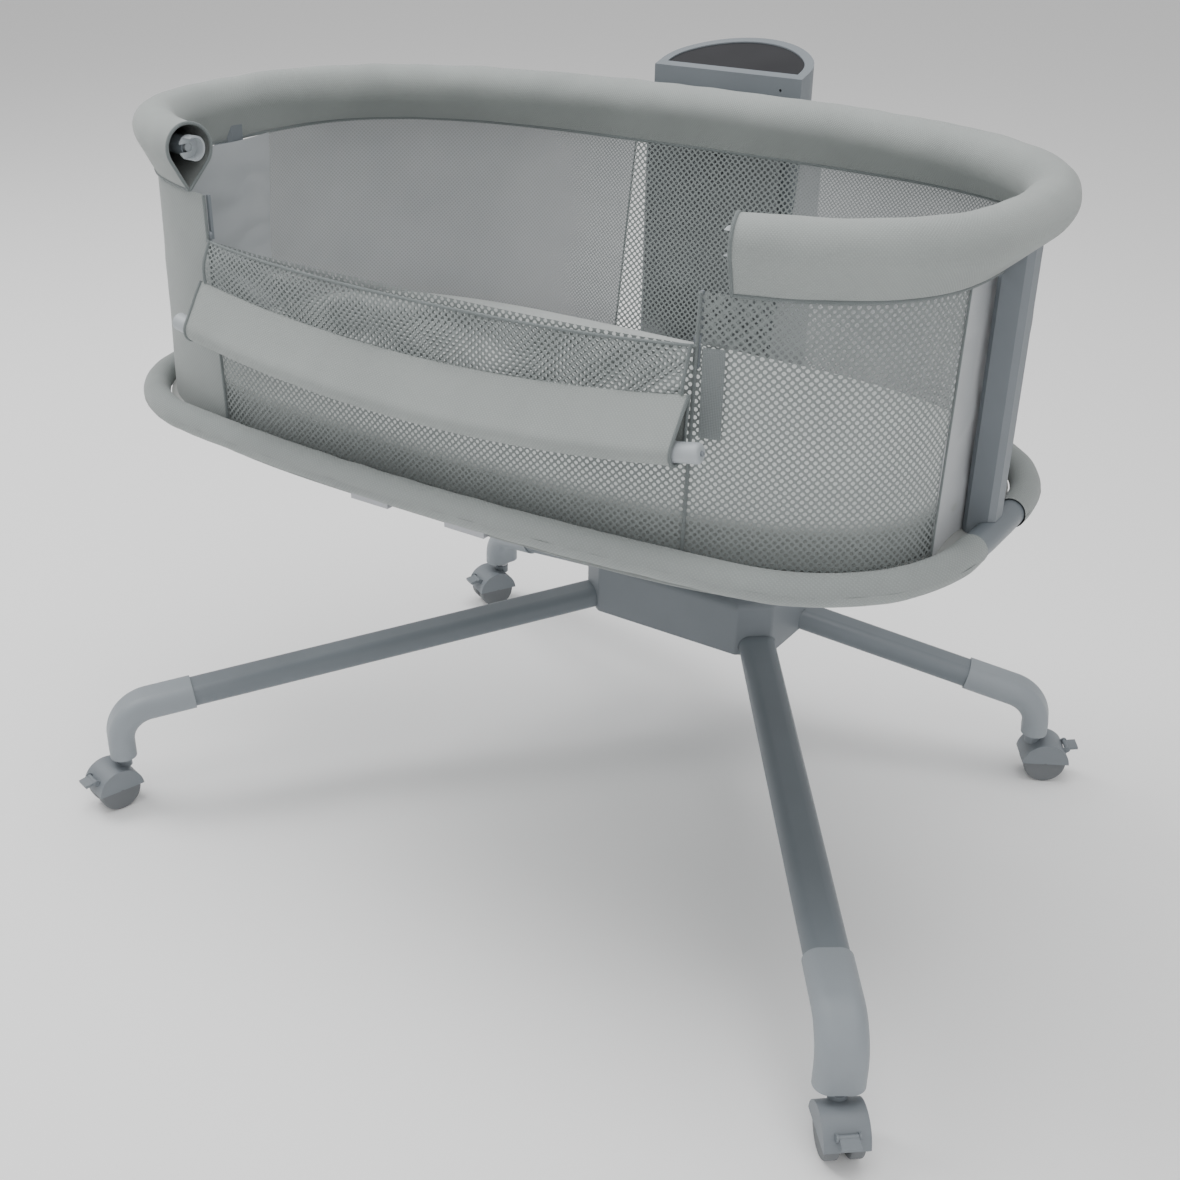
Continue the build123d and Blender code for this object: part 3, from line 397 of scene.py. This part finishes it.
def wall(name, first, last, top, stands_for, material, seed, ripple=0.003, step_in=0.0):
    """One wall panel between two shares of the outline; step_in is how far it bows in past a post."""
    def place(u, v):
        share = first + (last - first) * u
        low = at(base_line, share)
        high = at(seam_line, share)
        z = wall_bottom + (top - wall_bottom) * v
        mix = (z - wall_bottom) / (seam_z - wall_bottom)
        spot = low + (high - low) * mix
        inward = np.array([0, middle_y]) - spot
        inward = inward / np.linalg.norm(inward)
        fade = math.sin(math.pi * min(max(v, 0), 1)) ** 0.6
        push = crease((spot[0], spot[1], z), 0.09, ripple, seed) + crease(
            (spot[0] * 0.4, spot[1] * 0.4, z * 1.2), 0.03, ripple * 0.35, seed + 5)
        if step_in:
            push = abs(push)
            spot = spot + inward * step_in * math.sin(math.pi * u)
        spot = spot + inward * (push * fade + half_thick)
        return (spot[0], spot[1], z)

    length = abs(last - first) * tub_round
    cells = int(cells_round * abs(last - first)) + 20
    piece = carry(name, cells, 60, place, material, (length, top - wall_bottom))
    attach(piece, "basket")
    if stands_for:
        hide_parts(*stands_for)
    return piece


# where the panels meet, as shares of the way round from the front middle
satin_from, satin_to = 0.212, 0.2645
post_room = base_line[:, 0].max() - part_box("end_post_right")[0][0] + 0.001
window_from, window_to = 0.449, 0.535
wall("back_wall", window_to, 1 - satin_to, seam_z, ["wall_back"], fine_mesh, 1.0)
wall("back_window", window_from, window_to, seam_z, [], open_mesh, 1.0, 0.002)
wall("back_right_wall", satin_to, window_from, seam_z, [], fine_mesh, 1.0)
wall("satin_right", satin_from, satin_to, seam_z, [], satin, 6.0, 0.006, post_room)
wall("satin_left", 1 - satin_to, 1 - satin_from, seam_z, [], satin, 7.0, 0.006, post_room)
wall("front_right_wall", gate_share, satin_from, seam_z, ["wall_front_right"], open_mesh, 2.0, 0.002)
wall("front_left_wall", 1 - satin_from, 1 - gate_share, seam_z, ["wall_front_left"], shell_cloth, 3.0, 0.002)
wall("front_lower_wall", -gate_share, gate_share, fold_z, ["wall_front_lower"], open_mesh, 4.0, 0.0025)
print("walls from", round(wall_bottom, 4), "to", round(seam_z, 4))

# %% [markdown]
# The rim cover is a padded sleeve round the tube. Its section is a drop: round above, drawn in to the
# seam below. Cloth over foam pulls into faint folds on the tight turns.

# %% Rim cover
arm_end = 0.2885
cover_share = share_at(rim_line, arm_end)
pad_r = cover_high.z - rim_z


def drop_section(v, radius, reach):
    """Point of a drop's outline: v from 0 at the tip, round, and back to the tip."""
    tip = math.acos(min(radius / reach, 1))
    straight = math.sqrt(reach**2 - radius**2)
    arc = 2 * (math.pi - tip) * radius
    total = 2 * straight + arc
    s = v * total
    if s < straight:
        k = s / straight
        end = (radius * math.sin(tip), -radius * math.cos(tip))
        return (end[0] * k, -reach + (end[1] + reach) * k)
    if s > total - straight:
        k = (total - s) / straight
        end = (-radius * math.sin(tip), -radius * math.cos(tip))
        return (end[0] * k, -reach + (end[1] + reach) * k)
    a = (s - straight) / radius
    turn = tip + a
    return (radius * math.sin(turn), -radius * math.cos(turn))


def rim_place(u, v):
    share = cover_share + (1 - 2 * cover_share) * u
    centre = at(rim_line, share)
    seam = at(seam_line, share)
    ahead = at(rim_line, share + 0.002) - at(rim_line, share - 0.002)
    ahead = ahead / np.linalg.norm(ahead)
    out = np.array([ahead[1], -ahead[0]])
    lean = float(np.dot(seam - centre, out))
    fall = rim_z - seam_z
    reach = math.hypot(fall, lean)
    radius = pad_r * 0.985
    across, up = drop_section(v, radius, reach)
    tilt = math.atan2(lean, fall)
    side = across * math.cos(tilt) - up * math.sin(tilt)
    height = across * math.sin(tilt) + up * math.cos(tilt)
    smooth = centre + out * side
    push = crease((smooth[0], smooth[1], rim_z + height), 0.035, 0.0011, 9.0)
    push += crease((share * 60, v * 1.5, 0.0), 1.0, 0.0006, 3.0)
    scale = 1 + push / pad_r
    spot = centre + out * side * scale
    return (spot[0], spot[1], rim_z + height * (scale if up > 0 else 1))


rim_cover = carry("rim_cover_padding", 640, 72, rim_place, cover_cloth, (2.1, 0.16), close=True)
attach(rim_cover, "basket")
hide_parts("rim_cover")
print("rim cover", len(rim_cover.data.polygons), "faces")

# %% [markdown]
# ## Hem, mattress and belly
# The hem wraps the base ring as a snug tube with small gathers. The mattress is a low pad with a rounded
# top edge, and the belly under the board is a shallow tray of the same cloth.

# %% Hem sleeves
hem_r = (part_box("hem_sleeves")[1][2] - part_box("hem_sleeves")[0][2]) / 2
break_half = 0.045


def hem(name, first, last, seed):
    """A snug sleeve of cloth round part of the base ring."""
    def place(u, v):
        share = first + (last - first) * u
        centre = at(ring_line, share)
        ahead = at(ring_line, share + 0.002) - at(ring_line, share - 0.002)
        ahead = ahead / np.linalg.norm(ahead)
        out = np.array([ahead[1], -ahead[0]])
        turn = 2 * math.pi * v
        radius = hem_r * 0.99 + crease((share * 90, v * 3, seed), 1.0, 0.0007, seed)
        spot = centre + out * radius * math.cos(turn)
        return (spot[0], spot[1], ring_z + radius * math.sin(turn))

    piece = carry(name, 420, 28, place, shell_cloth, (1.1, 0.088), close=True)
    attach(piece, "basket")
    return piece


ring_quarter = ring_line[(ring_line[:, 2] > 0.1) & (ring_line[:, 2] < 0.4)]
share_front = float(np.interp(middle_y - break_half, ring_quarter[:, 1], ring_quarter[:, 2]))
share_back = float(np.interp(middle_y + break_half, ring_quarter[:, 1], ring_quarter[:, 2]))
front_hem = hem("front_hem", -share_front, share_front, 11.0)
back_hem = hem("back_hem", share_back, 1 - share_back, 13.0)
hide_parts("hem_sleeves")
print("hem breaks at", round(share_front, 3), round(share_back, 3))

# %% Mattress and belly
def pad(name, node, top_round, crown, material, seed, flip=False):
    """A low pad whose rounded edge follows the tub's outline."""
    low, high = (Vector(corner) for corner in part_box(node))
    half = (high - low) / 2
    edge = outline(half.x, half.y, half.y, 3.3, 3.3)

    def place(u, v):
        x, y = at(edge, u)
        y = y - middle_y
        thick = high.z - low.z
        if v < 0.12:
            k, z = v / 0.12, low.z
            inset = 0.6 + 0.4 * k
            shrink = 0.0
        elif v < 0.3:
            k = (v - 0.12) / 0.18
            z = low.z + (thick - top_round) * k
            inset, shrink = 1.0, 0.0
        elif v < 0.5:
            k = (v - 0.3) / 0.2 * math.pi / 2
            z = high.z - top_round + top_round * math.sin(k)
            inset, shrink = 1.0, top_round * (1 - math.cos(k))
        else:
            k = (v - 0.5) / 0.5
            inset, shrink = 1.0 - k, top_round * (1 - k)
            z = high.z
        size = math.hypot(x, y)
        keep = (size - shrink) / size if v < 0.5 else inset * (size - top_round) / size
        if v < 0.12:
            keep = inset
        px, py = x * keep, y * keep
        if v >= 0.5:
            z = high.z + crown * (1 - (px / half.x) ** 2 - (py / half.y) ** 2) * 0.2
            z += crease((px, py, 0), 0.11, 0.0016, seed)
        if flip:
            z = low.z + high.z - z
        return (px, py + middle_y, z)

    piece = carry(name, 320, 90, place, material, (2.2, 0.5), close=True)
    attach(piece, "basket")
    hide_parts(node)
    return piece


pad("mattress_pad", "mattress", 0.011, 0.006, mattress_cloth, 21.0)
pad("belly_panel", "base_panel", 0.002, 0.0, shell_cloth, 23.0, flip=True)
print("pads ready")

# %% [markdown]
# ## The gate
# The gate is a strip of mesh that hangs from a sewn fold and ends in a pocket round the bowed bar. The
# strip runs from the tub to the pocket, and the pocket wraps round the bar.

# %% Gate flap and pocket
joints = {joint["name"]: joint for joint in frame["record"]["behaviour"]["joints"]}
fold = Vector(joints["gate_fold"]["pos_m"])
chord = Vector(joints["bar_turn"]["pos_m"])
bow_lean = math.radians(19.9)
bow = Vector((0, -math.sin(bow_lean), -math.cos(bow_lean)))
bar_sag, bar_half = 0.024, 0.285
pocket = 0.045
flap_half = gate_half - 0.002


def bar_at(x):
    """Centre of the bowed bar at x."""
    return Vector((x, 0, 0)) + Vector((0, chord.y, chord.z)) + bow * bar_sag * (1 - (x / bar_half) ** 2)


def flap_place(u, v):
    x = (2 * u - 1) * flap_half
    share = share_at(seam_line, abs(x))
    mix = (fold.z - wall_bottom) / (seam_z - wall_bottom)
    top = at(base_line, share) * (1 - mix) + at(seam_line, share) * mix
    dip = 0.008 * (1 - (x / flap_half) ** 2)
    high = Vector((x, top[1] - 0.0012, fold.z + 0.001 - dip))
    low = bar_at(x) - bow * pocket
    spot = high + (low - high) * v
    fade = math.sin(math.pi * v)
    spot.y += -0.003 * fade + crease((x, v * 0.06, 0), 0.05, 0.0035, 31.0) * fade
    return spot


flap = carry("gate_mesh_flap", 300, 36, flap_place, open_mesh, (0.52, 0.05))
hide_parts("gate_flap")
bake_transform(flap)


def pocket_shape(u, v):
    """Tip of the drop towards the fold, round part about the bar."""
    x = (2 * u - 1) * (gate_half + 0.004)
    across, up = drop_section(v, 0.0112, pocket)
    side = Vector((0, bow.z, -bow.y))
    wave = crease((x, v * 0.1, 0), 0.03, 0.001, 41.0)
    return bar_at(x) + side * (across + wave) + bow * up


sleeve = carry("gate_bar_pocket", 300, 40, pocket_shape, cover_cloth, (0.53, 0.12), close=True)
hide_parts("gate_sleeve")
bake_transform(sleeve)
print("gate folds at", tuple(round(c, 4) for c in fold))

# %% [markdown]
# A short webbing strap backs the zip at the right of the gate, flat against the mesh.

# %% Webbing strap
webbing = cloth("webbing", (0.230, 0.255, 0.258), (0.160, 0.180, 0.184), 240, bump=0.9, bias=0)
strap_wide, strap_long = 0.018, 0.074
strap_low = Vector((gate_half + 0.008, 0, fold_z - strap_long))


def strap_place(u, v):
    x, z = strap_low.x + strap_wide * u, strap_low.z + strap_long * v
    mix = (z - wall_bottom) / (seam_z - wall_bottom)
    low, high = at(base_line, share_at(base_line, x)), at(seam_line, share_at(seam_line, x))
    return (x, low[1] + (high[1] - low[1]) * mix - 0.0022, z)


strap = carry("zip_strap", 8, 30, strap_place, webbing, (strap_wide, strap_long))
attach(strap, "basket")

# %% [markdown]
# ## Piping
# A corded edge closes the rim cover's seam and the gate's two sides. A bevelled curve made into a mesh
# gives an even round cord that follows any outline.

# %% Piping
def pipe(name, points, radius, body="basket"):
    """A sewn cord along the points; the body is left out for the cords on the gate cloth."""
    curve = bpy.data.curves.new(name, "CURVE")
    curve.dimensions = "3D"
    curve.bevel_depth = radius
    curve.bevel_resolution = 3
    curve.use_fill_caps = True
    spline = curve.splines.new("POLY")
    spline.points.add(len(points) - 1)
    for knot, point in zip(spline.points, points):
        knot.co = (*point, 1)
    holder = bpy.data.objects.new(name + "_line", curve)
    bpy.context.collection.objects.link(holder)
    mesh = bpy.data.meshes.new_from_object(holder)
    bpy.data.objects.remove(holder)
    for face in mesh.polygons:
        face.use_smooth = True
    if not mesh.uv_layers:
        mesh.uv_layers.new(name="UVMap")
    mesh.materials.clear()
    mesh.materials.append(piping_cloth)
    piece = bpy.data.objects.new(name, mesh)
    bpy.context.collection.objects.link(piece)
    if body:
        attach(piece, body)
    return piece


seam_points = [(*at(seam_line, s), seam_z + 0.0005) for s in np.linspace(cover_share, 1 - cover_share, 400)]
pipe("rim_seam_piping", seam_points, 0.0018)
fold_points = []
for share in np.linspace(-gate_share, gate_share, 120):
    x, y = at(seam_line, share)
    fold_points.append((x, y - 0.001, fold_z - 0.008 * (1 - (x / 0.266) ** 2)))
pipe("fold_piping", fold_points, 0.0014)

round_v = np.linspace(0, 1, 60)
pipe("arm_end_piping_right", [rim_place(0, v) for v in round_v], 0.0017)
pipe("arm_end_piping_left", [rim_place(1, v) for v in round_v], 0.0017)


def wall_seam(name, share, radius=0.0011):
    """A sewn seam up the wall from the hem to the rim."""
    low, high = at(base_line, share), at(seam_line, share)
    heights = np.linspace(0, 1, 12)
    points = [(*(low + (high - low) * k), wall_bottom + (seam_z - wall_bottom) * k) for k in heights]
    return pipe(name, points, radius)


wall_seam("gate_edge_right", gate_share, 0.0016)
wall_seam("gate_edge_left", 1 - gate_share, 0.0016)
wall_seam("window_seam_right", window_from)
wall_seam("window_seam_left", window_to)
wall_seam("satin_seam_right_front", satin_from)
wall_seam("satin_seam_right_back", satin_to)
wall_seam("satin_seam_left_front", 1 - satin_from)
wall_seam("satin_seam_left_back", 1 - satin_to)

for end, u in (("left", 0), ("right", 1)):
    edge = pipe("flap_piping_" + end, [flap_place(u, v) for v in round_v], 0.0016, None)
    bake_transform(edge)
    edge = pipe("pocket_piping_" + end, [pocket_shape(u, v) for v in round_v], 0.0015, None)
    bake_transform(edge)
print("piping sewn")

# %% [markdown]
# ## Light and view
# A pale floor and large soft lights show the cloth without hard shadows.

# %% Stage
floor_mesh = bpy.data.meshes.new("studio_floor")
bm = bmesh.new()
bmesh.ops.create_grid(bm, x_segments=1, y_segments=1, size=20)
bm.to_mesh(floor_mesh)
bm.free()
floor = bpy.data.objects.new("studio_floor", floor_mesh)
bpy.context.collection.objects.link(floor)
floor_paint = bpy.data.materials.new("studio_white")
floor_paint.use_nodes = True
floor_paint.node_tree.nodes["Principled BSDF"].inputs["Base Color"].default_value = (0.98, 0.98, 0.98, 1)
floor_paint.node_tree.nodes["Principled BSDF"].inputs["Roughness"].default_value = 0.9
floor_mesh.materials.append(floor_paint)

world = bpy.data.worlds.new("studio_air")
world.use_nodes = True
world.node_tree.nodes["Background"].inputs["Color"].default_value = (1, 1, 1, 1)
world.node_tree.nodes["Background"].inputs["Strength"].default_value = 0.62
bpy.context.scene.world = world
for name, spot, size, power in (
    ("key_light", (-2.6, -0.6, 3.2), 1.8, 75),
    ("fill_light", (2.4, -2.4, 2.2), 2.4, 28),
    ("top_light", (0.2, -0.2, 3.6), 2.4, 70),
):
    light = bpy.data.lights.new(name, "AREA")
    light.size = size
    light.energy = power
    lamp = bpy.data.objects.new(name, light)
    lamp.location = spot
    lamp.rotation_euler = (Vector((0, 0, 0.5)) - Vector(spot)).to_track_quat("-Z", "Y").to_euler()
    bpy.context.collection.objects.link(lamp)

# %% Camera
yaw, pitch, roll = math.radians(-34.03), math.radians(27.62), math.radians(0.63)
right = Vector((math.cos(yaw), -math.sin(yaw), 0))
ahead = Vector((math.sin(yaw) * math.cos(pitch), math.cos(yaw) * math.cos(pitch), -math.sin(pitch)))
above = right.cross(ahead)
right_rolled = right * math.cos(roll) + above * math.sin(roll)
above_rolled = above * math.cos(roll) - right * math.sin(roll)
view = bpy.data.cameras.new("view")
view.lens = 46.91
view.sensor_width = 36
view.shift_x = 0.0205
view.shift_y = 0.0088
camera = bpy.data.objects.new("view", view)
camera.matrix_world = Matrix((
    (right_rolled.x, above_rolled.x, -ahead.x, 0.822),
    (right_rolled.y, above_rolled.y, -ahead.y, -1.301),
    (right_rolled.z, above_rolled.z, -ahead.z, 1.0696),
    (0, 0, 0, 1),
))
bpy.context.collection.objects.link(camera)
bpy.context.scene.camera = camera
